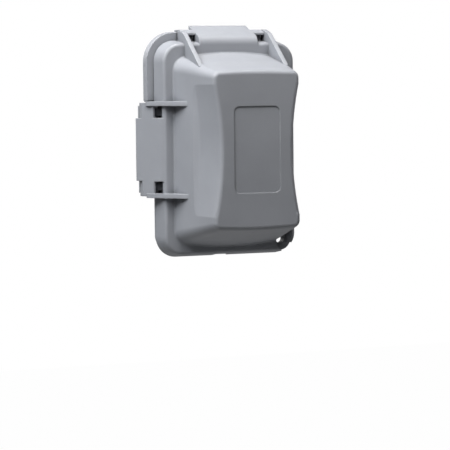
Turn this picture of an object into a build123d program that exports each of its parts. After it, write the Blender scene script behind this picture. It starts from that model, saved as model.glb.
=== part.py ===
from build123d import *
import os

os.makedirs("parts", exist_ok=True)

# Frame: X to the right, Z up, the wall is the plane Y = 0 and the cover stands out towards -Y.
# Every depth below is a distance from the wall towards the front.

# Driving sizes in millimetres
skirt_rear = 11.4
shoulder = 25.0
hood_front = 73.5
skirt_half_w = 52.8
skirt_half_h = 77.3
skirt_draft_w = 2.4
skirt_draft_h = 2.3
skirt_corner = 15.0
shoulder_corner = 13.0
wall = 2.4
shoulder_edge = 2.4
hollow_draft = 0.4

# Hood: the ledge of the shoulder round it, the lean of its walls and the crown of its top and bottom
side_ledge = 7.4
top_ledge = 7.0
bottom_ledge = 5.5
root_crown_top = 4.4
root_crown_bottom = 3.9
hood_root_corner = 10.0
side_lean = 10.6
top_lean = 12.4
bottom_lean = 13.9
front_crown_top = 1.0
front_crown_bottom = 1.3
hood_front_corner = 5.0
hood_edge = 3.2
hood_root_fillet = 1.6

# Hollows in the sides of the hood
scallop_end = 8.6
scallop_start = 46.8
scallop_run = 5.4
scallop_past_end = 1.5
scallop_lift = 0.15
scallop_rise_start = 3.3
scallop_rise_front = 5.2

# Panel on the front
panel_w = 34.8
panel_h = 60.4
panel_z = 0.4
panel_corner = 4.0
panel_depth = 0.5

# Hinge saddles, the same along their length on the top and on the left side
hinge_wide_half = 22.3
hinge_narrow_half = 33.3
rib_inner = 31.0
rib_outer = 34.3
rib_deep = 3.0
rib_bend = 8.0
plate_rear = 3.3
plate_thick = 2.2
strip_thick = 1.5
window_inner = 22.6
end_wall_inner = 20.1
end_wall_rear = 9.0
window_depth = 16.9
pin_depth = 11.5
pin_radius = 1.3
pin_running_clearance = 0.05
pin_end_clearance = 0.4
boss_inner = 17.5
boss_radius = 3.6
arm_inner = 24.0
arm_outer = 29.0
arm_radius = 2.4
arm_side_clearance = 1.4
arm_bite = 1.2
arm_lean = 0.35
top_slot_depth = 16.3
left_slot_depth = 21.8
slot_reach = 6.0

# Top hinge: how far its lines stand out from the skirt or the shoulder, or back from them
top_wide_out = 10.6
top_narrow_out = 7.6
top_corner_out = 4.3
top_end_in = 2.8
top_bend = 7.1
top_roof_thick = 2.4
top_rib_out = 7.6
top_rib_bend_depth = 22.9
top_rib_bend_out = 7.0
top_rib_end_depth = 51.5
top_rib_drop = 9.0
top_pin_out = 2.4
top_slot_out = 2.1

# Left hinge, the same way
left_wide_out = 11.0
left_narrow_out = 8.1
left_corner_out = 0.7
left_end_in = 4.4
left_bend = 8.2
left_roof_thick = 5.4
left_rib_out = 6.6
left_rib_bend_depth = 25.6
left_rib_bend_out = 1.6
left_rib_end_depth = 42.0
left_rib_drop = 3.9
left_pin_out = 1.0
left_slot_out = 1.6

# Padlock corner
lock_in_x = 9.0
lock_in_z = 10.1
lock_radius = 3.4
ear_radius = 8.3
pocket_reach = 4.4
pocket_tip_x = -2.0
pocket_tip_z = 5.6
lower_arm_short = 3.1
lower_arm_root = 11.0
lower_arm_thick = 2.0
pocket_bend_x = 3.2
pocket_bend_z = 2.4
tab_front = 13.2
pocket_wall = 2.2
pocket_clearance = 0.6

# Base
gasket_thick = 1.6
recess_front = 6.6
recess_margin = 2.0
recess_corner = 6.0
gasket_inset_w = 3.6
gasket_inset_h = 11.6
gasket_corner = 9.0
gasket_open_w = 76.0
gasket_open_h = 107.0
gasket_open_corner = 6.0
base_side_clearance = 0.8
base_end_clearance = 1.5
base_corner = 11.5
base_front = 10.2
rim_side_clearance = 0.5
rim_end_clearance = 0.8
rim_corner = 10.0
rim_thick = 2.4
rim_front = 20.0
flange_out_w = 5.3
flange_out_h = 6.2
flange_corner = 21.5
flange_front = 10.9
flange_rear = 4.4
flange_edge = 0.8
flange_gap = 0.45
ear_front = 10.8
ear_rear = 6.6
trough_side_clearance = 0.9
trough_drop = 3.6
trough_front = 12.2
trough_wall = 2.4
back_rear = 0.3
top_back_front = 1.7
top_back_inner = 23.4
top_back_outer = 39.0
top_back_end_gap = 1.6
top_back_foot = 6.0
left_back_front = 2.7
left_back_out = 8.0
left_back_bite = 2.6
seal_gap = 0.4
seal_inset = 0.2

# Device opening and its fixings
device_w = 33.6
device_h = 67.0
device_corner = 3.4
base_opening_w = 50.0
base_opening_h = 72.0
insert_w = 70.0
insert_h = 112.0
insert_corner = 6.0
insert_thick = 2.4
insert_edge = 0.4
screw_spacing = 83.3
screw_radius = 1.75
screw_neck_radius = 1.5
screw_hole_clearance = 0.25
screw_head_radius = 3.6
screw_head_thick = 2.2
screw_head_edge = 1.2
screw_slot_length = 5.6
screw_slot_width = 1.0
screw_slot_deep = 0.8
screw_stud = 10.0

# Cord ports
port_width = 9.6
port_x = -4.0
port_spacing = 12.4
port_rear = 10.2
plug_clearance = 0.15
plug_lip = 1.2
plug_lip_out = 0.8
lid_notch_front = 18.4
lid_notch_clearance = 0.6

# Derived sizes
shoulder_half_w = skirt_half_w - skirt_draft_w
shoulder_half_h = skirt_half_h - skirt_draft_h
shoulder_back = shoulder - wall
hood_length = hood_front - shoulder
hood_root_half = shoulder_half_w - side_ledge
hood_root_top = shoulder_half_h - top_ledge
hood_root_top_end = hood_root_top - root_crown_top
hood_root_bottom = bottom_ledge - shoulder_half_h
hood_root_bottom_end = hood_root_bottom + root_crown_bottom
hood_front_half = hood_root_half - side_lean
hood_front_top = hood_root_top - top_lean
hood_front_top_end = hood_front_top - front_crown_top
hood_front_bottom = hood_root_bottom + bottom_lean
hood_front_bottom_end = hood_front_bottom + front_crown_bottom
scallop_half = hood_front_top_end - scallop_end
window_outer = arm_outer + arm_side_clearance
top_pin = skirt_half_h + top_pin_out
left_pin = skirt_half_w + left_pin_out
lock_x = skirt_half_w - lock_in_x
lock_z = lock_in_z - skirt_half_h
pocket_right = lock_x + pocket_reach
base_half_w = skirt_half_w - wall - base_side_clearance
base_half_h = skirt_half_h - wall - base_end_clearance
rim_half_w = shoulder_half_w + hollow_draft - wall - rim_side_clearance
rim_half_h = shoulder_half_h + hollow_draft - wall - rim_end_clearance
flange_half_w = skirt_half_w + flange_out_w
flange_half_h = skirt_half_h + flange_out_h
flange_end = rib_outer + flange_gap
trough_half = hinge_narrow_half + trough_side_clearance
trough_z = rim_half_h - trough_drop
gasket_half_w = base_half_w - gasket_inset_w
gasket_half_h = base_half_h - gasket_inset_h
closed_port_x = port_x + port_spacing
side_port_z = port_spacing / 2
insert_front = base_front + insert_thick
seal_front = shoulder_back - seal_gap


def at_depth(depth):
    return Plane.XZ.offset(depth)


def hood_outline(depth, half, top, top_end, bottom, bottom_end, radius):
    with BuildSketch(at_depth(depth)) as outline:
        with BuildLine():
            ThreePointArc((-half, top_end), (0, top), (half, top_end))
            Line((half, top_end), (half, bottom_end))
            ThreePointArc((half, bottom_end), (0, bottom), (-half, bottom_end))
            Line((-half, bottom_end), (-half, top_end))
        make_face()
        fillet(outline.vertices(), radius)
    return outline.sketch


def hood_root(depth, inset):
    return hood_outline(depth, hood_root_half - inset, hood_root_top - inset, hood_root_top_end - inset,
                        hood_root_bottom + inset, hood_root_bottom_end + inset, hood_root_corner - inset)


def on_hood_root(edge):
    middle = edge.center()
    in_width = abs(middle.X) < hood_root_half + side_ledge / 4
    in_height = abs(middle.Z) < -hood_root_bottom + bottom_ledge / 4
    return abs(middle.Y + shoulder) < 0.01 and in_width and in_height


def scallop_outline(depth, face, rise, lift):
    # The arc runs on past the ends of the hollow, so that it crosses the side of the hood cleanly
    reach = scallop_half + scallop_past_end
    end = face + lift + max(rise, 0) * (reach * reach / (scallop_half * scallop_half) - 1)
    with BuildSketch(at_depth(depth)) as outline:
        with BuildLine():
            ThreePointArc((end, -reach), (face - rise, 0), (end, reach))
            Line((end, reach), (face + 20, reach))
            Line((face + 20, reach), (face + 20, -reach))
            Line((face + 20, -reach), (end, -reach))
        make_face()
    return outline.sketch


def side_scallop(inset, start):
    # The side wall leans inwards, so the hollow is lofted along the lean.
    # It comes in softly over scallop_run and grows evenly from there to the front.
    lean = (hood_root_half - hood_front_half) / hood_length
    full = start + scallop_run
    past = hood_front + 6.0
    growth = (scallop_rise_front - scallop_rise_start) / (hood_front - full)

    def face(depth):
        return hood_root_half - (depth - shoulder) * lean - inset

    with BuildPart() as run_in:
        for step in (0, 0.2, 0.4, 0.6, 0.8, 1):
            depth = start + step * scallop_run
            share = step * step * (3 - 2 * step)
            lift = scallop_lift * (1 - share)
            add(scallop_outline(depth, face(depth), share * scallop_rise_start - lift, 2 * lift))
        loft()
    with BuildPart() as tool:
        add(scallop_outline(full, face(full), scallop_rise_start, 0))
        add(scallop_outline(past, face(past), scallop_rise_start + (past - full) * growth, 0))
        loft(ruled=True)
        add(run_in.part)
    return tool.part


def lock_pocket(radius, right, rear):
    # Round well over the padlock hole, open towards the lower right corner
    grow = radius - ear_radius
    with BuildPart() as tool:
        with BuildSketch(at_depth(rear)):
            with Locations((lock_x, lock_z)):
                Circle(radius)
            with Locations((right + 20, lock_z)):
                Rectangle(40, 60, mode=Mode.SUBTRACT)
            with BuildLine():
                Polyline((lock_x - pocket_tip_x - grow, lock_z - pocket_tip_z + grow),
                         (lock_x + pocket_bend_x, lock_z - pocket_bend_z + grow),
                         (skirt_half_w + 10, lock_z - pocket_bend_z + grow),
                         (skirt_half_w + 10, -skirt_half_h - 15),
                         (lock_x - pocket_tip_x - grow, -skirt_half_h - 15), close=True)
            make_face()
        extrude(amount=hood_front)
    return tool.part


def lower_arm():
    # The lower wall of the skirt runs on straight under the padlock well instead of rounding the corner
    middle = lock_x - (lower_arm_short + lower_arm_root) / 2
    length = lower_arm_root - lower_arm_short
    front = shoulder - shoulder_edge
    rise = skirt_draft_h * (front - skirt_rear) / (shoulder - skirt_rear)
    with BuildPart() as arm:
        with BuildSketch(at_depth(skirt_rear)):
            with Locations((middle, lower_arm_thick / 2 - skirt_half_h)):
                Rectangle(length, lower_arm_thick)
        with BuildSketch(at_depth(front)):
            with Locations((middle, lower_arm_thick / 2 - skirt_half_h + rise)):
                Rectangle(length, lower_arm_thick)
        loft(ruled=True)
    return arm.part


def hinge_saddle(skirt, edge, hood, wide_out, narrow_out, corner_out, end_in, bend, roof_thick,
                 rib_out, rib_bend_depth, rib_bend_out, rib_end_depth, rib_drop, pin):
    # Drawn as the top hinge: the second sketch coordinate is the height above the middle.
    # skirt, edge and hood are that side's heights of the skirt's rear, the shoulder and the hood's root.
    wide = skirt + wide_out
    narrow = skirt + narrow_out
    corner = edge + corner_out
    end = edge - end_in
    rib_foot = skirt + rib_out
    rib_knee = edge + rib_bend_out
    rib_end = hood - rib_drop
    roof = shoulder - roof_thick
    lean = (wide - corner) / (shoulder - plate_rear)
    slope = (1 + lean * lean) ** 0.5
    ceiling = narrow - strip_thick
    ceiling_front = shoulder - (ceiling + strip_thick * slope - corner) / lean

    def inner(depth, thick):
        return corner + (shoulder - depth) * lean - thick * slope

    def riser(depth):
        return edge + (shoulder - depth) * (skirt - edge) / (shoulder - skirt_rear)

    def cavity(start, front, thick):
        with BuildSketch(Plane.YZ) as area:
            with BuildLine():
                Polyline((-start, inner(start, thick)), (-front, inner(front, thick)),
                         (-front, riser(front)),
                         (-skirt_rear, skirt), (-skirt_rear, end - 1), (-start, end - 1), close=True)
            make_face()
        return area.sketch

    def strip_cavity():
        with BuildSketch(Plane.YZ) as area:
            with BuildLine():
                Polyline((-plate_rear + 1, ceiling), (-ceiling_front, ceiling),
                         (-roof, inner(roof, strip_thick)),
                         (-roof, riser(roof)), (-skirt_rear, skirt), (-skirt_rear, end - 1),
                         (-plate_rear + 1, end - 1), close=True)
            make_face()
        return area.sketch

    with BuildPart() as saddle:
        with BuildSketch(Plane.YZ):
            with BuildLine():
                Polyline((-plate_rear, wide), (-shoulder, corner), (-shoulder, end), (-plate_rear, end),
                         close=True)
            make_face()
            fillet(vertices().sort_by_distance((-shoulder, corner))[0], bend)
        extrude(amount=hinge_narrow_half, both=True)
        side = (hinge_narrow_half + hinge_wide_half) / 2
        with Locations((side, -10, narrow + 10), (-side, -10, narrow + 10)):
            Box(hinge_narrow_half - hinge_wide_half, 40, 20, mode=Mode.SUBTRACT)
        # The wide middle is closed at its ends as far back as the knuckles
        middle_room = cavity(plate_rear - 1, roof, plate_thick)
        extrude(middle_room, amount=end_wall_inner, both=True, mode=Mode.SUBTRACT)
        with BuildSketch(Plane.YZ):
            with BuildLine():
                Polyline((-plate_rear + 1, inner(plate_rear - 1, plate_thick)),
                         (-end_wall_rear, inner(end_wall_rear, plate_thick)),
                         (-end_wall_rear, end - 1), (-plate_rear + 1, end - 1), close=True)
            make_face()
        extrude(amount=window_inner, both=True, mode=Mode.SUBTRACT)
        with BuildSketch(Plane.YZ):
            with BuildLine():
                Polyline((-plate_rear + 1, ceiling), (-end_wall_rear, ceiling), (-end_wall_rear, end - 1),
                         (-plate_rear + 1, end - 1), close=True)
            make_face()
        extrude(amount=hinge_narrow_half + 1, both=True, mode=Mode.SUBTRACT)
        thin = rib_inner - window_inner
        extrude(Pos(window_inner, 0, 0) * strip_cavity(), amount=thin, mode=Mode.SUBTRACT)
        extrude(Pos(-rib_inner, 0, 0) * strip_cavity(), amount=thin, mode=Mode.SUBTRACT)
        with Locations((0, 1 - skirt_rear / 2, skirt - 10)):
            Box(2 * hinge_narrow_half + 2, skirt_rear + 2, 20, mode=Mode.SUBTRACT)
        # Ribs at both ends, running over the shoulder to the side of the hood
        with BuildSketch(Plane.YZ.offset(rib_inner), Plane.YZ.offset(-rib_outer)):
            with BuildLine():
                Polyline((-skirt_rear - 0.3, rib_foot), (-skirt_rear - 2.4, rib_foot),
                         (-rib_bend_depth, rib_knee),
                         (-rib_end_depth, rib_end), (-rib_end_depth + rib_deep, rib_end - rib_deep),
                         (-skirt_rear - 3, rib_end - rib_deep), (-skirt_rear - 0.3, end - 2), close=True)
            make_face()
            fillet(vertices().sort_by_distance((-rib_bend_depth, rib_knee))[0], rib_bend)
        extrude(amount=rib_outer - rib_inner)
        # Windows beside the wide middle
        middle = (window_inner + rib_inner) / 2
        with Locations((middle, -window_depth - 10, corner), (-middle, -window_depth - 10, corner)):
            Box(rib_inner - window_inner, 20, 60, mode=Mode.SUBTRACT)
        # Knuckles for the pin
        with BuildSketch(Plane.YZ.offset(boss_inner), Plane.YZ.offset(-hinge_wide_half)):
            with Locations((-pin_depth, pin)):
                Circle(boss_radius)
        extrude(amount=hinge_wide_half - boss_inner)
        with BuildSketch(Plane.YZ.offset(boss_inner - 1), Plane.YZ.offset(-window_inner - 1)):
            with Locations((-pin_depth, pin)):
                Circle(pin_radius + pin_running_clearance)
        extrude(amount=window_inner - boss_inner + 2, mode=Mode.SUBTRACT)
    return saddle.part


def skirt_slots(inside, outside, end, slot_depth):
    # Slots open to the rear behind the windows, which let the base arms through the skirt at the top
    width = end - window_inner
    middle = (end + window_inner) / 2
    depth = slot_depth - skirt_rear + 1
    with BuildPart() as tool:
        with Locations((middle, -slot_depth + depth / 2, (inside + outside) / 2),
                       (-middle, -slot_depth + depth / 2, (inside + outside) / 2)):
            Box(width, depth, outside - inside)
    return tool.part


def hinge_arms(root, pin):
    # The arms lean forwards to their root, which leaves room for the strips beside the windows
    # when the lid is open
    shift = (pin - root) * arm_lean
    with BuildPart() as arms:
        with BuildSketch(Plane.YZ.offset(arm_inner), Plane.YZ.offset(-arm_outer)):
            with BuildLine():
                Polyline((-pin_depth + arm_radius, pin), (-pin_depth + arm_radius - shift, root),
                         (-pin_depth - arm_radius - shift, root), (-pin_depth - arm_radius, pin),
                         close=True)
            make_face()
            with Locations((-pin_depth, pin)):
                Circle(arm_radius)
            with Locations((-pin_depth, pin)):
                Circle(pin_radius, mode=Mode.SUBTRACT)
        extrude(amount=arm_outer - arm_inner)
    return arms.part


def rim_area(depth, inset):
    # Area inside the rim, which steps round the padlock well
    well = ear_radius + pocket_wall + pocket_clearance
    with BuildSketch(at_depth(depth)) as area:
        RectangleRounded(2 * (rim_half_w - inset), 2 * (rim_half_h - inset), rim_corner - inset)
        with Locations((lock_x, lock_z)):
            Circle(well + inset, mode=Mode.SUBTRACT)
    return area.sketch


top_saddle = hinge_saddle(
    skirt_half_h, shoulder_half_h, hood_root_top, top_wide_out, top_narrow_out, top_corner_out, top_end_in,
    top_bend, top_roof_thick, top_rib_out, top_rib_bend_depth, top_rib_bend_out, top_rib_end_depth,
    top_rib_drop, top_pin,
)
left_saddle = Rot(0, -90, 0) * hinge_saddle(
    skirt_half_w, shoulder_half_w, hood_root_half,
    left_wide_out, left_narrow_out, left_corner_out, left_end_in,
    left_bend, left_roof_thick, left_rib_out, left_rib_bend_depth, left_rib_bend_out, left_rib_end_depth,
    left_rib_drop, left_pin,
)

# Space inside the lid
with BuildPart() as lid_hollow:
    with BuildSketch(at_depth(skirt_rear - 0.5)):
        RectangleRounded(2 * (skirt_half_w - wall), 2 * (skirt_half_h - wall), skirt_corner - wall)
    with BuildSketch(at_depth(shoulder_back)):
        RectangleRounded(2 * (shoulder_half_w + hollow_draft - wall),
                         2 * (shoulder_half_h + hollow_draft - wall),
                         shoulder_corner - wall)
    loft(ruled=True)
    extrude(hood_root(shoulder_back - 3, wall), amount=wall + 3)
    add(hood_root(shoulder, wall))
    side_in = wall - wall * side_lean / hood_length
    end_in = wall - wall * top_lean / hood_length
    add(hood_outline(hood_front - wall, hood_front_half - side_in, hood_front_top - end_in,
                     hood_front_top_end - end_in, hood_front_bottom + end_in,
                     hood_front_bottom_end + end_in, hood_front_corner - wall / 2))
    loft(ruled=True)
    inner_scallop = side_scallop(wall, scallop_start - wall)
    add(inner_scallop, mode=Mode.SUBTRACT)
    add(mirror(inner_scallop, about=Plane.YZ), mode=Mode.SUBTRACT)
    add(lock_pocket(ear_radius + pocket_wall, pocket_right + 30, skirt_rear - 1), mode=Mode.SUBTRACT)

# Lid with its hood, hinge saddles and padlock tab
with BuildPart() as lid:
    with BuildSketch(at_depth(skirt_rear)):
        RectangleRounded(2 * skirt_half_w, 2 * skirt_half_h, skirt_corner)
    with BuildSketch(at_depth(shoulder)):
        RectangleRounded(2 * shoulder_half_w, 2 * shoulder_half_h, shoulder_corner)
    loft(ruled=True)
    fillet(faces().sort_by(Axis.Y)[0].edges(), shoulder_edge)
    add(lower_arm())
    extrude(hood_root(tab_front, 0), amount=shoulder - tab_front)
    add(hood_root(shoulder, 0))
    add(hood_outline(hood_front, hood_front_half, hood_front_top, hood_front_top_end,
                     hood_front_bottom, hood_front_bottom_end, hood_front_corner))
    loft(ruled=True)
    fillet(edges().filter_by(on_hood_root), hood_root_fillet)
    outer_scallop = side_scallop(0, scallop_start)
    add(outer_scallop, mode=Mode.SUBTRACT)
    add(mirror(outer_scallop, about=Plane.YZ), mode=Mode.SUBTRACT)
    fillet(faces().sort_by(Axis.Y)[0].edges(), hood_edge)
    add(lock_pocket(ear_radius, pocket_right, tab_front), mode=Mode.SUBTRACT)
    add(top_saddle)
    add(left_saddle)
    add(lid_hollow.part, mode=Mode.SUBTRACT)
    with BuildSketch(at_depth(skirt_rear)):
        with Locations((lock_x, lock_z)):
            Circle(ear_radius)
    extrude(amount=tab_front - skirt_rear)
    with BuildSketch(at_depth(skirt_rear - 1)):
        with Locations((lock_x, lock_z)):
            Circle(lock_radius)
    extrude(amount=tab_front - skirt_rear + 2, mode=Mode.SUBTRACT)
    top_slots = skirt_slots(shoulder_half_h - slot_reach, skirt_half_h + top_slot_out, window_outer,
                            top_slot_depth)
    add(top_slots, mode=Mode.SUBTRACT)
    left_slots = skirt_slots(shoulder_half_w - slot_reach, skirt_half_w + left_slot_out, rib_inner,
                             left_slot_depth)
    add(Rot(0, -90, 0) * left_slots, mode=Mode.SUBTRACT)
    # Notch for the cord in the rear edge of the skirt
    with Locations((port_x, -(skirt_rear + lid_notch_front) / 2 + 0.5, -skirt_half_h + 1)):
        Box(port_width + 2 * lid_notch_clearance, lid_notch_front - skirt_rear + 1, 9, mode=Mode.SUBTRACT)
    # Shallow panel on the front
    with BuildSketch(at_depth(hood_front)):
        with Locations((0, panel_z)):
            RectangleRounded(panel_w, panel_h, panel_corner)
    extrude(amount=-panel_depth, mode=Mode.SUBTRACT)
lid.part.label = "lid"
export_step(lid.part, "parts/lid.step")

# Flange behind the upper left corner
with BuildPart() as corner_flange:
    with BuildSketch(at_depth(flange_rear)):
        RectangleRounded(2 * flange_half_w, 2 * flange_half_h, flange_corner)
    extrude(amount=flange_front - flange_rear)
    fillet(faces().sort_by(Axis.Y)[0].edges(), flange_edge)
    with BuildSketch(at_depth(0)):
        with Locations((-flange_end, flange_end)):
            Rectangle(flange_half_w, flange_half_h, align=(Align.MAX, Align.MIN))
    extrude(amount=2 * flange_front, mode=Mode.INTERSECT)

# Base frame with rim, hinge arms and padlock ear
with BuildPart() as base_frame:
    with BuildSketch(at_depth(gasket_thick)):
        RectangleRounded(2 * base_half_w, 2 * base_half_h, base_corner)
    extrude(amount=base_front - gasket_thick)
    add(corner_flange.part)
    with BuildSketch(at_depth(ear_rear)):
        with Locations((lock_x, lock_z)):
            Circle(ear_radius)
    extrude(amount=ear_front - ear_rear)
    extrude(rim_area(base_front, 0), amount=rim_front - base_front)
    extrude(rim_area(base_front, rim_thick), amount=rim_front - base_front, mode=Mode.SUBTRACT)
    # Trough behind the top hinge for the swing of its rear edge
    bridge_h = rim_half_h - trough_z + trough_wall
    with Locations((0, -(base_front + trough_front + trough_wall) / 2 + 0.2, rim_half_h - bridge_h / 2)):
        Box(2 * (trough_half + trough_wall), trough_front + trough_wall - base_front + 0.4, bridge_h)
    with Locations((0, -trough_front / 2, trough_z + 5)):
        Box(2 * trough_half, trough_front, 10, mode=Mode.SUBTRACT)
    add(hinge_arms(rim_half_h - arm_bite, top_pin))
    add(Rot(0, -90, 0) * hinge_arms(rim_half_w - arm_bite, left_pin))
    # Recess in the back, inside the foam
    with BuildSketch(at_depth(-1)):
        RectangleRounded(gasket_open_w - 2 * recess_margin, gasket_open_h - 2 * recess_margin,
                         recess_corner)
    extrude(amount=recess_front + 1, mode=Mode.SUBTRACT)
    with BuildSketch(at_depth(recess_front - 1)):
        RectangleRounded(base_opening_w, base_opening_h, device_corner)
        with Locations((0, screw_spacing / 2), (0, -screw_spacing / 2)):
            Circle(screw_radius + screw_hole_clearance)
    extrude(amount=base_front - recess_front + 3, mode=Mode.SUBTRACT)
    # The corner is cut away behind the ear, so that a shackle passes the base
    with BuildSketch(at_depth(gasket_thick - 1)):
        with Locations((lock_x, lock_z)):
            Circle(ear_radius)
    extrude(amount=ear_rear - gasket_thick + 1, mode=Mode.SUBTRACT)
    with BuildSketch(at_depth(ear_rear - 1)):
        with Locations((lock_x, lock_z)):
            Circle(lock_radius)
    extrude(amount=ear_front - ear_rear + 2, mode=Mode.SUBTRACT)
    # Thin plates behind the windows of both hinges
    top_back_end = top_pin + top_narrow_out - top_pin_out - top_back_end_gap
    plate_mid = (top_back_inner + top_back_outer) / 2
    plate_w = top_back_outer - top_back_inner
    foot = gasket_half_h + 0.5
    plate_deep = top_back_front - back_rear
    plate_y = -(top_back_front + back_rear) / 2
    foot_front = gasket_thick + 1.4
    foot_y = -(foot_front + back_rear) / 2
    for side_x in (-plate_mid, plate_mid):
        with Locations((side_x, plate_y, (foot + top_back_end) / 2)):
            Box(plate_w, plate_deep, top_back_end - foot)
        with Locations((side_x, foot_y, foot + top_back_foot / 2)):
            Box(plate_w, foot_front - back_rear, top_back_foot)
    slit_low = hinge_narrow_half + 0.5
    slit_high = flange_end + 3.0
    slit_x = -(flange_half_w + base_half_w) / 2 + 1.5
    with Locations((slit_x, -(flange_rear + back_rear) / 2 - 0.3, (slit_low + slit_high) / 2)):
        Box(flange_half_w - base_half_w - 1.0, flange_rear - back_rear + 0.6, slit_high - slit_low)
    left_mid_x = -(skirt_half_w + left_back_out + base_half_w - left_back_bite) / 2
    left_w = skirt_half_w + left_back_out - base_half_w + left_back_bite
    with Locations((left_mid_x, -(left_back_front + back_rear) / 2, 0)):
        Box(left_w, left_back_front - back_rear, 2 * rib_inner)
    # Cord ports in the rim, open to the front
    port_mid = -(port_rear + rim_front) / 2
    port_deep = rim_front - port_rear
    with Locations((port_x, port_mid, -rim_half_h), (closed_port_x, port_mid, -rim_half_h)):
        Box(port_width, port_deep, 4 * rim_thick, mode=Mode.SUBTRACT)
    with Locations((rim_half_w, port_mid, side_port_z), (rim_half_w, port_mid, -side_port_z)):
        Box(4 * rim_thick, port_deep, port_width, mode=Mode.SUBTRACT)
base_frame.part.label = "base_frame"
export_step(base_frame.part, "parts/base_frame.step")

# Plate round the device
with BuildPart() as device_plate:
    with BuildSketch(at_depth(base_front)):
        RectangleRounded(insert_w, insert_h, insert_corner)
        RectangleRounded(device_w, device_h, device_corner, mode=Mode.SUBTRACT)
        with Locations((0, screw_spacing / 2), (0, -screw_spacing / 2)):
            Circle(screw_radius + screw_hole_clearance, mode=Mode.SUBTRACT)
    extrude(amount=insert_thick)
    chamfer(faces().sort_by(Axis.Y)[0].edges(), insert_edge)
device_plate.part.label = "device_plate"
export_step(device_plate.part, "parts/device_plate.step")

# Screws that hold the cover to the box, with a thinner neck so that they stay in their holes
with BuildPart() as mounting_screws:
    screw_places = Locations((0, screw_spacing / 2), (0, -screw_spacing / 2))
    with BuildSketch(at_depth(insert_front)):
        with screw_places:
            Circle(screw_head_radius)
    extrude(amount=screw_head_thick)
    fillet(faces().sort_by(Axis.Y)[0].edges() + faces().sort_by(Axis.Y)[1].edges(), screw_head_edge)
    with BuildSketch(at_depth(0)):
        with screw_places:
            Circle(screw_neck_radius)
    extrude(amount=insert_front)
    with BuildSketch(at_depth(0)):
        with screw_places:
            Circle(screw_radius)
    extrude(amount=-screw_stud)
    with BuildSketch(at_depth(insert_front + screw_head_thick)):
        with screw_places:
            Rectangle(screw_slot_length, screw_slot_width)
    extrude(amount=-screw_slot_deep, mode=Mode.SUBTRACT)
mounting_screws.part.label = "mounting_screws"
export_step(mounting_screws.part, "parts/mounting_screws.step")

# Foam between the base and the wall
with BuildPart() as wall_gasket:
    with BuildSketch(at_depth(0)):
        RectangleRounded(2 * gasket_half_w, 2 * gasket_half_h, gasket_corner)
        RectangleRounded(gasket_open_w, gasket_open_h, gasket_open_corner, mode=Mode.SUBTRACT)
    extrude(amount=gasket_thick)
wall_gasket.part.label = "wall_gasket"
export_step(wall_gasket.part, "parts/wall_gasket.step")

# Foam strip on the rim
with BuildPart() as rim_seal:
    extrude(rim_area(rim_front, seal_inset), amount=seal_front - rim_front)
    extrude(rim_area(rim_front, rim_thick - seal_inset), amount=seal_front - rim_front, mode=Mode.SUBTRACT)
    with Locations((port_x, -rim_front, -rim_half_h)):
        Box(port_width, 10, 4 * rim_thick, mode=Mode.SUBTRACT)
rim_seal.part.label = "rim_seal"
export_step(rim_seal.part, "parts/rim_seal.step")

# Plugs in the cord ports that are not used
plug_w = port_width - 2 * plug_clearance
plug_deep = rim_front - port_rear - 2 * plug_clearance
plug_mid = -(port_rear + rim_front) / 2
lip_w = plug_w + 2 * plug_lip_out
plug_x = rim_half_w - rim_thick / 2
lip_x = rim_half_w - rim_thick - plug_lip / 2
with BuildPart() as port_plugs:
    with Locations((closed_port_x, plug_mid, -rim_half_h + rim_thick / 2)):
        Box(plug_w, plug_deep, rim_thick)
    with Locations((closed_port_x, plug_mid, -rim_half_h + rim_thick + plug_lip / 2)):
        Box(lip_w, plug_deep, plug_lip)
    with Locations((plug_x, plug_mid, side_port_z), (plug_x, plug_mid, -side_port_z)):
        Box(rim_thick, plug_deep, plug_w)
    with Locations((lip_x, plug_mid, side_port_z), (lip_x, plug_mid, -side_port_z)):
        Box(plug_lip, plug_deep, lip_w)
port_plugs.part.label = "port_plugs"
export_step(port_plugs.part, "parts/port_plugs.step")

# Pin of the top hinge, pressed into the base arms
with BuildPart() as hinge_pin:
    with BuildSketch(Plane.YZ.offset(-(rib_inner - pin_end_clearance))):
        with Locations((-pin_depth, top_pin)):
            Circle(pin_radius)
    extrude(amount=2 * (rib_inner - pin_end_clearance))
    chamfer(edges(), 0.3)
hinge_pin.part.label = "hinge_pin"
export_step(hinge_pin.part, "parts/hinge_pin.step")
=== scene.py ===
"""Finishes and lights a weatherproof box cover: hinged hood, base, gaskets and screws."""

import logging
import math
from dataclasses import dataclass
from enum import Enum

import bmesh
import bpy
from mathutils import Matrix, Vector


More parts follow.
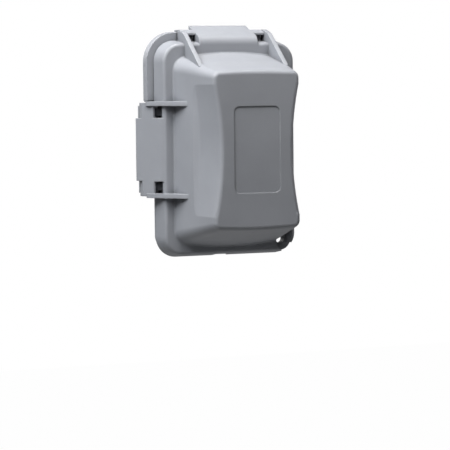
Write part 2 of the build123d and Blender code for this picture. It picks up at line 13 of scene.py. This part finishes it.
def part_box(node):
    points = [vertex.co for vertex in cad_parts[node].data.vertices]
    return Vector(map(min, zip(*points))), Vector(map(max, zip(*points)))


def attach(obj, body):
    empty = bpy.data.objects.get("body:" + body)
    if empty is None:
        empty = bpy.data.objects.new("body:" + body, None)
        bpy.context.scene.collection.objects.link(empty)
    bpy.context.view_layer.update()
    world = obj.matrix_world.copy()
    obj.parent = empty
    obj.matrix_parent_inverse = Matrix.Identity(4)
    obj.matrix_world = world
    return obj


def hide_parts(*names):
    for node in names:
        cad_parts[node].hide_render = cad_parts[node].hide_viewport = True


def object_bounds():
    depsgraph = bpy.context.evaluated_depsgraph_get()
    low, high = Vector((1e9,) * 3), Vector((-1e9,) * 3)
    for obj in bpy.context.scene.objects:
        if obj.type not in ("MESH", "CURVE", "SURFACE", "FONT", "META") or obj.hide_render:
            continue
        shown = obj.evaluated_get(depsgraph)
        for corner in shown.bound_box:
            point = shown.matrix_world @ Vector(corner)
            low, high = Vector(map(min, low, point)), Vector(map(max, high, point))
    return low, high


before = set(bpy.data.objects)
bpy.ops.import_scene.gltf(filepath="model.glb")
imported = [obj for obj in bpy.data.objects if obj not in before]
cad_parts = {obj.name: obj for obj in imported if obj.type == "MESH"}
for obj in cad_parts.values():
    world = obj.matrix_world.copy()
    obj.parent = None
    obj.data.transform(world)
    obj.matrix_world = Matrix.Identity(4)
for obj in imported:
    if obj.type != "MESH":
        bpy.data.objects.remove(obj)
cad_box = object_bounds()

MM = 0.001
SAME_PLANE = 1e-6
SHARP_DEGREES = 38.0
SOFT_SAMPLES = 6
EDGE_COSINES = (0.995, 0.8)
LOG = logging.getLogger("box_cover")
Colour = tuple[float, float, float]


class Body(Enum):
    """The two bodies that the pieces ride on."""

    BASE = "base"
    LID = "lid"


class Grain(Enum):
    """How a moulded face was finished in its tool. The value is the grain's depth in mm."""

    SPARKED = 0.04
    SATIN = 0.012


@dataclass(frozen=True)
class Pattern:
    """A noise pattern on the piece's own place.

    Attributes:
        scale: Waves in a metre.
        detail: Octaves.
        roughness: Strength of the finer octaves.
    """

    scale: float
    detail: float = 2.0
    roughness: float = 0.5


def scaled(colour: Colour, factor: float) -> Colour:
    """Makes a colour darker or lighter.

    Args:
        colour: The colour.
        factor: Below 1 for a darker colour, above 1 for a lighter one.

    Returns:
        The new colour.
    """
    return tuple(factor * part for part in colour)


class ShaderSheet:
    """A material's node tree, with short calls for the nodes that the finishes share."""

    def __init__(self, name: str) -> None:
        """Starts an empty material whose shader is a Principled one.

        Args:
            name: Name of the material.
        """
        self.material = bpy.data.materials.new(name)
        self.material.use_nodes = True
        self.nodes = self.material.node_tree.nodes
        self.links = self.material.node_tree.links
        self.shader = self.nodes["Principled BSDF"]
        self.place = self.add("ShaderNodeTexCoord").outputs["Object"]

    def add(self, kind: str, **values: object) -> bpy.types.Node:
        """Adds a node.

        Args:
            kind: Blender's name of the node type.
            **values: Properties of the node.

        Returns:
            The new node.
        """
        node = self.nodes.new(kind)
        for key, value in values.items():
            setattr(node, key, value)
        return node

    def shade(self, source: bpy.types.NodeSocket, socket: str) -> None:
        """Joins a value to a socket of the material's shader.

        Args:
            source: The value.
            socket: Name of the shader's socket.
        """
        self.links.new(source, self.shader.inputs[socket])

    def noise(self, pattern: Pattern) -> bpy.types.NodeSocket:
        """Adds a noise pattern.

        Args:
            pattern: The pattern.

        Returns:
            The pattern's height, about 0 to 1.
        """
        node = self.add("ShaderNodeTexNoise")
        node.inputs["Scale"].default_value = pattern.scale
        node.inputs["Detail"].default_value = pattern.detail
        node.inputs["Roughness"].default_value = pattern.roughness
        self.links.new(self.place, node.inputs["Vector"])
        return node.outputs["Fac"]

    def spread(self, source: bpy.types.NodeSocket, low: float, high: float,
               to_low: float = 0.0, to_high: float = 1.0) -> bpy.types.NodeSocket:
        """Maps a range of a value to another one.

        Args:
            source: The value.
            low: Start of its range.
            high: End of its range.
            to_low: Result at the start.
            to_high: Result at the end.

        Returns:
            The mapped value, held inside the new range.
        """
        node = self.add("ShaderNodeMapRange")
        limits = {"From Min": low, "From Max": high, "To Min": to_low, "To Max": to_high}
        for key, value in limits.items():
            node.inputs[key].default_value = value
        self.links.new(source, node.inputs["Value"])
        return node.outputs["Result"]

    def blend(self, share: bpy.types.NodeSocket, first: Colour | bpy.types.NodeSocket,
              second: Colour | bpy.types.NodeSocket) -> bpy.types.NodeSocket:
        """Mixes two colours.

        Args:
            share: 0 for the first colour, 1 for the second.
            first: A colour or a colour socket.
            second: A colour or a colour socket.

        Returns:
            The mixed colour.
        """
        node = self.add("ShaderNodeMix", data_type="RGBA")
        self.links.new(share, node.inputs["Factor"])
        for socket, value in ((node.inputs[6], first), (node.inputs[7], second)):
            if isinstance(value, bpy.types.NodeSocket):
                self.links.new(value, socket)
            else:
                socket.default_value = (*value, 1.0)
        return node.outputs[2]

    def relief(self, height: bpy.types.NodeSocket, depth_mm: float, strength: float = 1.0,
               under: bpy.types.NodeSocket | None = None) -> bpy.types.NodeSocket:
        """Adds a bump.

        Args:
            height: The pattern.
            depth_mm: Its depth.
            strength: Share of the bump that shows.
            under: The normal that the bump lies on, if there is one.

        Returns:
            The bumped normal.
        """
        node = self.add("ShaderNodeBump")
        node.inputs["Distance"].default_value = depth_mm * MM
        node.inputs["Strength"].default_value = strength
        self.links.new(height, node.inputs["Height"])
        if under is not None:
            self.links.new(under, node.inputs["Normal"])
        return node.outputs["Normal"]

    def rounded(self, radius_mm: float) -> tuple[bpy.types.NodeSocket, bpy.types.NodeSocket]:
        """Softens sharp edges in the shading.

        Args:
            radius_mm: Radius of the soft edge.

        Returns:
            The softened normal, and a mask that is 1 on the edges and 0 on flat faces.
        """
        soft = self.add("ShaderNodeBevel", samples=SOFT_SAMPLES)
        soft.inputs["Radius"].default_value = radius_mm * MM
        flat = self.add("ShaderNodeNewGeometry")
        turn = self.add("ShaderNodeVectorMath", operation="DOT_PRODUCT")
        self.links.new(soft.outputs["Normal"], turn.inputs[0])
        self.links.new(flat.outputs["Normal"], turn.inputs[1])
        return soft.outputs["Normal"], self.spread(turn.outputs["Value"], *EDGE_COSINES)

    def hollow(self, reach_mm: float) -> bpy.types.NodeSocket:
        """Tells how open the space before a spot is.

        Args:
            reach_mm: How far it looks.

        Returns:
            1 on an open face, falling towards 0 in a deep corner.
        """
        node = self.add("ShaderNodeAmbientOcclusion", samples=SOFT_SAMPLES)
        node.inputs["Distance"].default_value = reach_mm * MM
        return node.outputs["AO"]


@dataclass(frozen=True)
class MouldedPlastic:
    """Grey weather-resistant moulded plastic.

    Attributes:
        name: Name of the material.
        colour: Plain colour of the plastic.
        rubbed: Colour of edges that hands have polished.
        roughness: Middle roughness.
        grain: Finish of the tool's face.
        edge_mm: Radius of the moulded edges.
        painted_shade: How dark the painted shade in corners and recesses gets, as a share.
        painted_shade_mm: How far the painted shade reaches out of a corner.
        dust_and_shade: Colour of the painted shade in corners, as a share of the plastic's.
        clouds: Broad unevenness of the colour.
        cloud_shares: The darkest and lightest cloud, as shares of the colour.
        flecks: Fine light flecks.
        fleck_share: How far a fleck goes towards the rubbed colour.
        rubs: Patchiness of the polished edges.
        haze: Unevenness of the gloss.
        haze_steps: What the haze adds to the roughness, at least and at most.
        waves: Slow waviness of the moulded faces.
        wave_mm: Depth of the waves.
        pits: The grain's own pattern.
        refraction: Refractive index.
        shine: Strength of the surface's reflection.
    """

    name: str
    colour: Colour
    rubbed: Colour
    roughness: float = 0.46
    grain: Grain = Grain.SPARKED
    edge_mm: float = 0.5
    painted_shade: float = 0.8
    painted_shade_mm: float = 7.0
    dust_and_shade: float = 0.12
    clouds: Pattern = Pattern(22.0, 4.0, 0.55)
    cloud_shares: tuple[float, float] = (0.93, 1.05)
    flecks: Pattern = Pattern(900.0, 2.0, 0.6)
    fleck_share: float = 0.25
    rubs: Pattern = Pattern(160.0, 3.0, 0.6)
    haze: Pattern = Pattern(60.0, 5.0, 0.6)
    haze_steps: tuple[float, float] = (-0.05, 0.06)
    waves: Pattern = Pattern(75.0, 1.0)
    wave_mm: float = 0.06
    pits: Pattern = Pattern(2600.0, 3.0, 0.6)
    refraction: float = 1.49
    shine: float = 0.5

    def colouring(self, sheet: ShaderSheet, edges: bpy.types.NodeSocket) -> bpy.types.NodeSocket:
        """Clouds the plastic, polishes its edges and puts painted shade into its corners and
        recesses.

        Args:
            sheet: The material's nodes.
            edges: Mask of the moulded edges.

        Returns:
            The colour of the surface.
        """
        darker, lighter = (scaled(self.colour, share) for share in self.cloud_shares)
        body = sheet.blend(sheet.spread(sheet.noise(self.clouds), 0.3, 0.7), darker, lighter)
        flecks = sheet.spread(sheet.noise(self.flecks), 0.62, 0.75, 0.0, self.fleck_share)
        speckled = sheet.blend(flecks, body, self.rubbed)
        worn = sheet.add("ShaderNodeMath", operation="MULTIPLY")
        patchy = sheet.spread(sheet.noise(self.rubs), 0.4, 0.65, 0.15, 0.7)
        sheet.links.new(edges, worn.inputs[0])
        sheet.links.new(patchy, worn.inputs[1])
        shown = sheet.blend(worn.outputs["Value"], speckled, self.rubbed)
        # Painted shade: an occlusion node darkens the colour in corners, creases and recesses
        # towards a near-black share of the plastic's colour.
        painted_shade_share = sheet.spread(sheet.hollow(self.painted_shade_mm), 0.2, 0.75, self.painted_shade, 0.0)
        return sheet.blend(painted_shade_share, shown, scaled(self.colour, self.dust_and_shade))

    def material(self) -> bpy.types.Material:
        """Builds the material.

        Returns:
            The material, ready to assign.
        """
        sheet = ShaderSheet(self.name)
        soft, edges = sheet.rounded(self.edge_mm)
        sheet.shade(self.colouring(sheet, edges), "Base Color")
        glossier, duller = (self.roughness + step for step in self.haze_steps)
        haze = sheet.spread(sheet.noise(self.haze), 0.3, 0.7, glossier, duller)
        sheet.shade(haze, "Roughness")
        waves = sheet.relief(sheet.noise(self.waves), self.wave_mm, 0.5, soft)
        pits = sheet.relief(sheet.noise(self.pits), self.grain.value, 0.8, waves)
        sheet.shade(pits, "Normal")
        sheet.shader.inputs["IOR"].default_value = self.refraction
        sheet.shader.inputs["Specular IOR Level"].default_value = self.shine
        return sheet.material


@dataclass(frozen=True)
class PlatedSteel:
    """Zinc-plated steel of screws and pins.

    Attributes:
        name: Name of the material.
        colour: Colour of the plating.
        roughness: Middle roughness.
        dulled: Colour of its dull patches, as a share of the plating's.
        patches: The dull patches.
        haze_steps: What the patches add to the roughness, at least and at most.
        scratches: Fine unevenness of the plating.
        scratch_mm: Depth of that unevenness.
        edge_mm: Radius of the edges.
    """

    name: str
    colour: Colour = (0.62, 0.62, 0.6)
    roughness: float = 0.3
    dulled: float = 0.72
    patches: Pattern = Pattern(420.0, 4.0, 0.65)
    haze_steps: tuple[float, float] = (-0.06, 0.12)
    scratches: Pattern = Pattern(1800.0)
    scratch_mm: float = 0.006
    edge_mm: float = 0.12

    def material(self) -> bpy.types.Material:
        """Builds the material.

        Returns:
            The material, ready to assign.
        """
        sheet = ShaderSheet(self.name)
        patches = sheet.spread(sheet.noise(self.patches), 0.35, 0.7)
        colour = sheet.blend(patches, self.colour, scaled(self.colour, self.dulled))
        sheet.shade(colour, "Base Color")
        glossier, duller = (self.roughness + step for step in self.haze_steps)
        sheet.shade(sheet.spread(patches, 0.0, 1.0, glossier, duller), "Roughness")
        soft, _ = sheet.rounded(self.edge_mm)
        scratches = sheet.relief(sheet.noise(self.scratches), self.scratch_mm, 0.6, soft)
        sheet.shade(scratches, "Normal")
        sheet.shader.inputs["Metallic"].default_value = 1.0
        return sheet.material


@dataclass(frozen=True)
class ClosedCellFoam:
    """Black closed-cell foam of the gaskets.

    Attributes:
        name: Name of the material.
        colour: Colour of the foam's skin.
        dust_and_shade: Colour of the dust on it, as a multiple of the skin's.
        pore_mm: Size of its pores.
        pore_depth_mm: Depth of its pores.
        roughness: Roughness in the pores and between them.
    """

    name: str
    colour: Colour = (0.022, 0.022, 0.024)
    dust_and_shade: float = 2.6
    pore_mm: float = 0.5
    pore_depth_mm: float = 0.12
    roughness: tuple[float, float] = (0.95, 0.8)

    def material(self) -> bpy.types.Material:
        """Builds the material.

        Returns:
            The material, ready to assign.
        """
        sheet = ShaderSheet(self.name)
        pores = sheet.add("ShaderNodeTexVoronoi")
        pores.inputs["Scale"].default_value = 1.0 / (self.pore_mm * MM)
        sheet.links.new(sheet.place, pores.inputs["Vector"])
        walls = sheet.spread(pores.outputs["Distance"], 0.1, 0.6)
        sheet.shade(sheet.blend(walls, self.colour, scaled(self.colour, self.dust_and_shade)), "Base Color")
        sheet.shade(sheet.spread(walls, 0.0, 1.0, *self.roughness), "Roughness")
        sheet.shade(sheet.relief(walls, self.pore_depth_mm, 0.8), "Normal")
        return sheet.material


GREY: Colour = (0.270, 0.285, 0.315)
GREY_RUBBED: Colour = (0.36, 0.375, 0.40)
GREY_DARK: Colour = (0.2, 0.21, 0.235)


class Maker:
    """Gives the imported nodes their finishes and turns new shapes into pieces."""

    def dress(self, node: str, material: bpy.types.Material) -> bpy.types.Object:
        """Assigns a material to every slot of a node.

        Args:
            node: Name of the node.
            material: The finish.

        Returns:
            The node's object.
        """
        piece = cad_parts[node]
        for place in piece.material_slots:
            place.material = material
        return piece

    def piece(self, shape: bmesh.types.BMesh, name: str, material: bpy.types.Material,
              body: Body, slot: str) -> bpy.types.Object:
        """Turns a finished shape into a piece of the object.

        Args:
            shape: The shape in the row frame. It is freed.
            name: Name of the piece.
            material: Its finish.
            body: The body that it rides on.
            slot: Name of a material slot; not used.

        Returns:
            The new piece.
        """
        bmesh.ops.recalc_face_normals(shape, faces=shape.faces)
        mesh = bpy.data.meshes.new(name)
        shape.to_mesh(mesh)
        shape.free()
        mesh.shade_smooth()
        mesh.set_sharp_from_angle(angle=math.radians(SHARP_DEGREES))
        mesh.materials.append(material)
        made = bpy.data.objects.new(name, mesh)
        bpy.context.scene.collection.objects.link(made)
        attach(made, body.value)
        return made

    def disc(self, shape: bmesh.types.BMesh, middle: Vector, radius: float, depth: float,
             tip: float | None = None, segments: int = 40) -> list[bmesh.types.BMVert]:
        """Adds a round piece whose axis runs along Y.

        Args:
            shape: The shape to add to.
            middle: Its middle.
            radius: Its radius at the wall side.
            depth: Its length along Y.
            tip: Its radius at the front, if it isn't the same.
            segments: Sides of the circle.

        Returns:
            The new vertices.
        """
        turn = Matrix.Translation(middle) @ Matrix.Rotation(math.radians(90.0), 4, "X")
        made = bmesh.ops.create_cone(shape, cap_ends=True, segments=segments, radius1=radius,
                                     radius2=radius if tip is None else tip, depth=depth,
                                     matrix=turn)
        return made["verts"]


@dataclass
class CoverLid(Maker):
    """The hooded lid with its hinge saddles, and the marks that its mould left inside.

    Attributes:
        plastic: Finish of the moulding.
        wall_mm: Thickness of its front wall.
        mark_mm: Radius of the marks of the ejector pins.
        mark_thick_mm: Thickness of a mark, half of it sunk in the wall.
        mark_edge_mm: Width of the bevel on a mark's rim.
        mark_spots_mm: Places of the marks on one side, as X and Z.
        gate_mm: Radius of the gate's stub at the wall side, and at the front.
        gate_long_mm: Length of the stub.
        gate_proud_mm: How far the stub's middle stands inside the front wall's inner face.
        gate_height_mm: Z of the stub.
        gate_sides: Sides of the stub's circle.
    """

    plastic: MouldedPlastic = MouldedPlastic("lid_grey_plastic", GREY, GREY_RUBBED, edge_mm=0.9)
    wall_mm: float = 2.4
    mark_mm: float = 2.6
    mark_thick_mm: float = 0.5
    mark_edge_mm: float = 0.1
    mark_spots_mm: tuple[tuple[float, float], ...] = ((22.0, 38.0), (19.0, 2.0), (22.0, -34.0))
    gate_mm: tuple[float, float] = (0.9, 1.6)
    gate_long_mm: float = 1.4
    gate_proud_mm: float = 0.3
    gate_height_mm: float = 4.0
    gate_sides: int = 24

    def mould_marks(self, material: bpy.types.Material) -> bpy.types.Object:
        """Makes the slightly raised pin marks and the stub of the gate on the inner front face.

        Args:
            material: Finish of the lid.

        Returns:
            The marks as one piece.
        """
        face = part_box("lid")[0].y + self.wall_mm * MM
        shape = bmesh.new()
        for x, z in self.mark_spots_mm:
            for side in (-1.0, 1.0):
                middle = Vector((side * x * MM, face, z * MM))
                self.disc(shape, middle, self.mark_mm * MM, self.mark_thick_mm * MM)
        rims = [edge for edge in shape.edges if all(vert.co.y > face for vert in edge.verts)]
        bmesh.ops.bevel(shape, geom=rims, offset=self.mark_edge_mm * MM, segments=2, profile=0.5,
                        affect="EDGES", material=-1)
        root, tip = (radius * MM for radius in self.gate_mm)
        middle = Vector((0.0, face + self.gate_proud_mm * MM, self.gate_height_mm * MM))
        self.disc(shape, middle, root, self.gate_long_mm * MM, tip, self.gate_sides)
        return self.piece(shape, "mould_marks", material, Body.LID, "lid_plastic")

    def build(self) -> list[bpy.types.Object]:
        """Dresses the lid and adds its marks.

        Returns:
            The pieces of the lid.
        """
        grey = self.plastic.material()
        return [self.dress("lid", grey), self.mould_marks(grey)]


@dataclass
class BoxScrews(Maker):
    """The two slotted screws that hold the cover, with rolled threads behind the wall plane.

    Attributes:
        steel: Finish of the screws.
        head_mm: Radius of the head.
        head_thick_mm: Thickness of the head.
        head_edge_mm: Radius of the head's rounded edge.
        slot_mm: Length, width and depth of the driver slot.
        neck_mm: Radius of the plain neck.
        core_mm: Radius of the core between the threads.
        thread_mm: Outer radius of the thread.
        pitch_mm: Pitch of the thread.
        overlap_mm: How far head, neck and core reach into each other.
        start_mm: Where the thread starts behind the wall plane.
        turn_steps: Steps in one turn of the thread.
    """

    steel: PlatedSteel = PlatedSteel("zinc_steel")
    head_mm: float = 3.6
    head_thick_mm: float = 2.2
    head_edge_mm: float = 1.2
    slot_mm: tuple[float, float, float] = (5.6, 1.0, 0.8)
    neck_mm: float = 1.5
    core_mm: float = 1.42
    thread_mm: float = 1.75
    pitch_mm: float = 0.8
    overlap_mm: float = 0.1
    start_mm: float = 0.2
    turn_steps: int = 24

    def front_faces(self, shape: bmesh.types.BMesh, front: float, height: float,
                    half_wide: float, half_high: float) -> list[bmesh.types.BMFace]:
        """Finds the faces of one head's flat front.

        Args:
            shape: The shape that holds the heads.
            front: Y of the head's front face.
            height: Z of the screw.
            half_wide: How far from the screw's middle a face's middle may lie in X.
            half_high: How far it may lie in Z.

        Returns:
            The faces.
        """
        found = []
        for face in shape.faces:
            middle = face.calc_center_median()
            if (abs(middle.y - front) < SAME_PLANE and abs(middle.x) < half_wide
                    and abs(middle.z - height) < half_high):
                found.append(face)
        return found

    def head(self, shape: bmesh.types.BMesh, front: float, height: float) -> None:
        """Adds a rounded head with its driver slot.

        Args:
            shape: The shape to add to.
            front: Y of the head's front face.
            height: Z of the screw.
        """
        radius = self.head_mm * MM
        thick = self.head_thick_mm * MM
        ring = self.disc(shape, Vector((0.0, front + thick / 2, height)), radius, thick)
        rim = {edge for vert in ring for edge in vert.link_edges
               if all(abs(end.co.y - front) < SAME_PLANE for end in edge.verts)}
        bmesh.ops.bevel(shape, geom=list(rim), offset=self.head_edge_mm * MM, segments=6,
                        profile=0.5, affect="EDGES", material=-1)
        long, wide, deep = (value * MM for value in self.slot_mm)
        cuts = ((Vector((1.0, 0.0, 0.0)), wide / 2), (Vector((0.0, 0.0, 1.0)), long / 2))
        for way, half in cuts:
            for side in (-1.0, 1.0):
                near = self.front_faces(shape, front, height, radius, radius)
                parts = {part for face in near for part in (*face.verts, *face.edges)}
                bmesh.ops.bisect_plane(shape, geom=[*near, *parts], dist=1e-7, plane_no=way,
                                       plane_co=Vector((0.0, front, height)) + side * half * way)
        floor = self.front_faces(shape, front, height, wide / 2, long / 2)
        sunk = bmesh.ops.extrude_face_region(shape, geom=floor)
        moved = [part for part in sunk["geom"] if isinstance(part, bmesh.types.BMVert)]
        bmesh.ops.translate(shape, vec=(0.0, deep, 0.0), verts=moved)

    def thread(self, shape: bmesh.types.BMesh, end: float, height: float) -> None:
        """Adds the threaded stub: a core and a ridge that winds round it.

        Args:
            shape: The shape to add to.
            end: Y of the stub's tip.
            height: Z of the screw.
        """
        core = self.core_mm * MM
        pitch = self.pitch_mm * MM
        self.disc(shape, Vector((0.0, end / 2 - self.overlap_mm * MM, height)), core, end)
        reach = self.thread_mm * MM - core
        place = Matrix.Translation((core, reach + self.start_mm * MM, height))
        ridge = bmesh.ops.create_circle(shape, cap_ends=False, segments=3, radius=reach,
                                        matrix=place @ Matrix.Rotation(math.radians(-90.0), 4, "Z"))
        edges = list({edge for vert in ridge["verts"] for edge in vert.link_edges})
        turns = int((end - 4 * reach) / pitch)
        bmesh.ops.spin(shape, geom=[*ridge["verts"], *edges], cent=(0.0, 0.0, height),
                       axis=(0.0, 1.0, 0.0), dvec=(0.0, pitch / self.turn_steps, 0.0),
                       angle=2 * math.pi * turns, steps=self.turn_steps * turns,
                       use_merge=False, use_duplicate=False)
        bmesh.ops.holes_fill(shape, edges=[edge for edge in shape.edges if edge.is_boundary],
                             sides=3)

    def build(self) -> list[bpy.types.Object]:
        """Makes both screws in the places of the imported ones.

        Returns:
            The screws as one piece.
        """
        low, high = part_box("mounting_screws")
        seat = low.y + self.head_thick_mm * MM
        neck_long = 2 * self.overlap_mm * MM - seat
        shape = bmesh.new()
        for height in (low.z + self.head_mm * MM, high.z - self.head_mm * MM):
            self.head(shape, low.y, height)
            self.disc(shape, Vector((0.0, seat / 2, height)), self.neck_mm * MM, neck_long)
            self.thread(shape, high.y, height)
        screws = self.piece(shape, "slotted_screws", self.steel.material(), Body.BASE,
                            "screw_steel")
        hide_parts("mounting_screws")
        return [screws]


@dataclass
class BaseFrame(Maker):
    """The base with its rim, corner flange, hinge arms and cord ports, and what it holds.

    Attributes:
        plastic: Finish of the base and of the plugs in its ports.
        insert: Finish of the device plate.
        foam: Finish of the gasket and the rim's seal.
        wire: Finish of the hinge pin.
    """

    plastic: MouldedPlastic = MouldedPlastic("base_grey_plastic", GREY, GREY_RUBBED)
    insert: MouldedPlastic = MouldedPlastic("plate_grey_plastic", GREY_DARK, GREY, 0.4, Grain.SATIN)
    foam: ClosedCellFoam = ClosedCellFoam("black_foam")
    wire: PlatedSteel = PlatedSteel("drawn_wire", roughness=0.36)

    def build(self) -> list[bpy.types.Object]:
        """Dresses the base and what it holds.

        Returns:
            The pieces of the base.
        """
        grey = self.plastic.material()
        foam = self.foam.material()
        return [
            self.dress("base_frame", grey),
            self.dress("port_plugs", grey),
            self.dress("device_plate", self.insert.material()),
            self.dress("wall_gasket", foam),
            self.dress("rim_seal", foam),
            self.dress("hinge_pin", self.wire.material()),
        ]


@dataclass(frozen=True)
class SoftBox:
    """A square studio light.

    Attributes:
        name: Name of the light.
        place: Where it stands, in metres.
        size: Its side in metres.
        power: Its power in watts.
        colour: Its colour.
    """

    name: str
    place: tuple[float, float, float]
    size: float
    power: float
    colour: Colour = (1.0, 1.0, 1.0)

    def build(self, target: Vector) -> bpy.types.Object:
        """Makes the light and points it.

        Args:
            target: The point that it looks at.

        Returns:
            The light.
        """
        data = bpy.data.lights.new(self.name, "AREA")
        data.size = self.size
        data.energy = self.power
        data.color = self.colour
        lamp = bpy.data.objects.new(self.name, data)
        lamp.location = self.place
        lamp.rotation_euler = (target - Vector(self.place)).to_track_quat("-Z", "Y").to_euler()
        bpy.context.scene.collection.objects.link(lamp)
        return lamp


@dataclass
class Studio:
    """The camera, the floor, the lights and the pale surroundings.

    Attributes:
        camera_place: Where the camera stands, in metres.
        pan: How far it is turned to its right, in degrees.
        tilt: How far it looks down, in degrees.
        roll: How far it is rolled about its line of sight, in degrees.
        lens: Focal length in mm.
        sensor: Width of the sensor in mm.
        clip: Nearest and farthest distance that the camera shows, in metres.
        floor_drop: How far the floor lies below the object, in metres.
        floor_reach: Half the floor's side, in metres.
        floor_grey: How much light the floor throws back.
        floor_glow: How much of the floor looks like the background to the camera.
        sky: Strength of the surroundings' light from below and from above.
        sky_colour: Colour of that light.
        boxes: The lights.
    """

    camera_place: tuple[float, float, float] = (-0.64709, -1.53769, 0.05772)
    pan: float = 23.01
    tilt: float = 3.92
    roll: float = -0.62
    lens: float = 183.83
    sensor: float = 36.0
    clip: tuple[float, float] = (0.05, 60.0)
    floor_drop: float = 0.9
    floor_reach: float = 6.0
    floor_grey: float = 0.55
    floor_glow: float = 0.99
    sky: tuple[float, float] = (0.0, 0.065)
    sky_colour: Colour = (1.0, 0.985, 0.975)
    boxes: tuple[SoftBox, ...] = (
        SoftBox("overhead", (-0.1, -0.15, 1.3), 1.0, 12.0, (1.0, 0.965, 0.93)),
        SoftBox("upper_left", (-1.0, -0.2, 1.2), 0.8, 23.5),
        SoftBox("near_above", (-0.1, -0.4, 0.62), 0.3, 2.9, (1.0, 0.97, 0.94)),
        SoftBox("near_top", (-0.05, -0.12, 0.6), 0.3, 1.1, (1.0, 0.965, 0.93)),
        SoftBox("near_left", (-0.6, -0.3, 0.5), 0.3, 2.2),
        SoftBox("right_fill", (1.6, 0.5, 0.4), 0.9, 4.0),
        SoftBox("back_fill", (-0.4, 1.8, 0.5), 0.9, 5.0),
    )

    def camera(self) -> None:
        """Makes the camera at the picture's viewing angle."""
        data = bpy.data.cameras.new("camera")
        data.sensor_width = self.sensor
        data.lens = self.lens
        data.clip_start, data.clip_end = self.clip
        eye = bpy.data.objects.new("camera", data)
        turn = (
            Matrix.Rotation(math.radians(-self.pan), 4, "Z")
            @ Matrix.Rotation(math.radians(90.0 - self.tilt), 4, "X")
            @ Matrix.Rotation(math.radians(self.roll), 4, "Z")
        )
        eye.matrix_world = Matrix.Translation(self.camera_place) @ turn
        bpy.context.scene.collection.objects.link(eye)
        bpy.context.scene.camera = eye

    def seen_directly(self, tree: bpy.types.NodeTree) -> bpy.types.NodeSocket:
        """Tells the rays that the camera sees, straight or through glass, from the rest.

        Args:
            tree: The node tree to add to.

        Returns:
            1 for a ray that shows the background and 0 for one that lights.
        """
        path = tree.nodes.new("ShaderNodeLightPath")
        both = tree.nodes.new("ShaderNodeMath")
        both.operation = "MAXIMUM"
        tree.links.new(path.outputs["Is Camera Ray"], both.inputs[0])
        tree.links.new(path.outputs["Is Transmission Ray"], both.inputs[1])
        return both.outputs["Value"]

    def show(self, tree: bpy.types.NodeTree, share: bpy.types.NodeSocket,
             lit: bpy.types.NodeSocket, seen: bpy.types.NodeSocket, target: str) -> None:
        """Ends a node tree with one shader for the light and another one for the camera.

        Args:
            tree: The node tree to add to.
            share: 0 for the shader that lights, 1 for the one that the camera sees.
            lit: The shader that lights.
            seen: The shader that the camera sees.
            target: Blender's name of the tree's output node.
        """
        mix = tree.nodes.new("ShaderNodeMixShader")
        out = tree.nodes.new(target)
        tree.links.new(share, mix.inputs["Fac"])
        tree.links.new(lit, mix.inputs[1])
        tree.links.new(seen, mix.inputs[2])
        tree.links.new(mix.outputs["Shader"], out.inputs["Surface"])

    def surroundings(self) -> None:
        """Makes the world: white to the camera, and a soft grey light on the object."""
        world = bpy.data.worlds.new("studio")
        world.use_nodes = True
        bpy.context.scene.world = world
        tree = world.node_tree
        tree.nodes.clear()
        light = tree.nodes.new("ShaderNodeBackground")
        light.inputs["Color"].default_value = (*self.sky_colour, 1.0)
        way = tree.nodes.new("ShaderNodeTexCoord")
        parts = tree.nodes.new("ShaderNodeSeparateXYZ")
        grade = tree.nodes.new("ShaderNodeMapRange")
        below, above = self.sky
        limits = {"From Min": -1.0, "From Max": 1.0, "To Min": below, "To Max": above}
        for key, value in limits.items():
            grade.inputs[key].default_value = value
        tree.links.new(way.outputs["Generated"], parts.inputs["Vector"])
        tree.links.new(parts.outputs["Z"], grade.inputs["Value"])
        tree.links.new(grade.outputs["Result"], light.inputs["Strength"])
        white = tree.nodes.new("ShaderNodeBackground")
        white.inputs["Color"].default_value = (1.0, 1.0, 1.0, 1.0)
        self.show(tree, self.seen_directly(tree), light.outputs["Background"],
                  white.outputs["Background"], "ShaderNodeOutputWorld")

    def floor(self) -> bpy.types.Object:
        """Makes the pale floor below the object.

        Returns:
            The floor.
        """
        shape = bmesh.new()
        bmesh.ops.create_grid(shape, x_segments=1, y_segments=1, size=self.floor_reach)
        bmesh.ops.translate(shape, vec=(0.0, 0.0, cad_box[0].z - self.floor_drop),
                            verts=shape.verts)
        mesh = bpy.data.meshes.new("floor")
        shape.to_mesh(mesh)
        shape.free()
        piece = bpy.data.objects.new("floor", mesh)
        bpy.context.scene.collection.objects.link(piece)
        material = bpy.data.materials.new("pale_floor")
        material.use_nodes = True
        tree = material.node_tree
        tree.nodes.clear()
        matt = tree.nodes.new("ShaderNodeBsdfDiffuse")
        matt.inputs["Color"].default_value = (*[self.floor_grey] * 3, 1.0)
        white = tree.nodes.new("ShaderNodeEmission")
        share = tree.nodes.new("ShaderNodeMath")
        share.operation = "MULTIPLY"
        share.inputs[1].default_value = self.floor_glow
        tree.links.new(self.seen_directly(tree), share.inputs[0])
        self.show(tree, share.outputs["Value"], matt.outputs["BSDF"], white.outputs["Emission"],
                  "ShaderNodeOutputMaterial")
        mesh.materials.append(material)
        return piece

    def build(self) -> None:
        """Sets up the whole studio round the object."""
        bpy.context.scene.view_settings.view_transform = "Standard"
        self.camera()
        self.surroundings()
        self.floor()
        target = (cad_box[0] + cad_box[1]) / 2
        for box in self.boxes:
            box.build(target)


def main() -> None:
    """Builds every sub-assembly in order and then the studio."""
    logging.basicConfig(level=logging.INFO, format="%(message)s")
    for part in (CoverLid(), BaseFrame(), BoxScrews()):
        for piece in part.build():
            LOG.info("%s: %s", type(part).__name__, piece.name)
    Studio().build()


if __name__ == "__main__":
    main()
